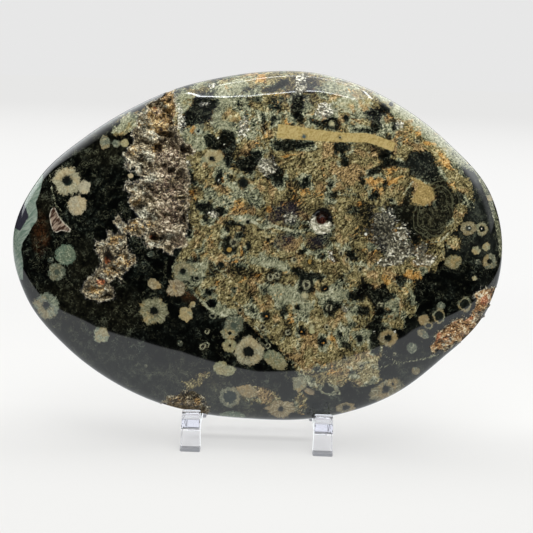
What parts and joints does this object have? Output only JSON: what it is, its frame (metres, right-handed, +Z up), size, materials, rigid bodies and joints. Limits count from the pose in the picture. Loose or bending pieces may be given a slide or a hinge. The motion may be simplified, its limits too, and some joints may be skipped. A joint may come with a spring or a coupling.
{
  "type": "polished ocean jasper freeform on an acrylic easel",
  "caption": "Polished oval jasper freeform with ringed orbs and rough crystal hollows, leaning on a small clear easel.",
  "frame": {"origin": "centre of the footprint, on the surface that the easel's feet stand on", "axes": "+X along the stone's long way, to the right as seen from the front; the polished front faces -Y; +Z up"},
  "size_m": [0.2, 0.062, 0.1511],
  "materials": {
    "jasper": "mirror polish",
    "druse": "rough natural crystals",
    "rusty_druse": "rough iron-stained crystals",
    "acrylic": "clear polished acrylic"
  },
  "bodies": {
    "root": {"stone": "jasper", "druse_main": "druse", "druse_arm": "druse", "druse_rim": "rusty_druse", "druse_base": "druse", "stand_side_left": "acrylic", "stand_side_right": "acrylic", "stand_base_bar": "acrylic", "stand_back_bar": "acrylic"}
  },
  "joints": []
}
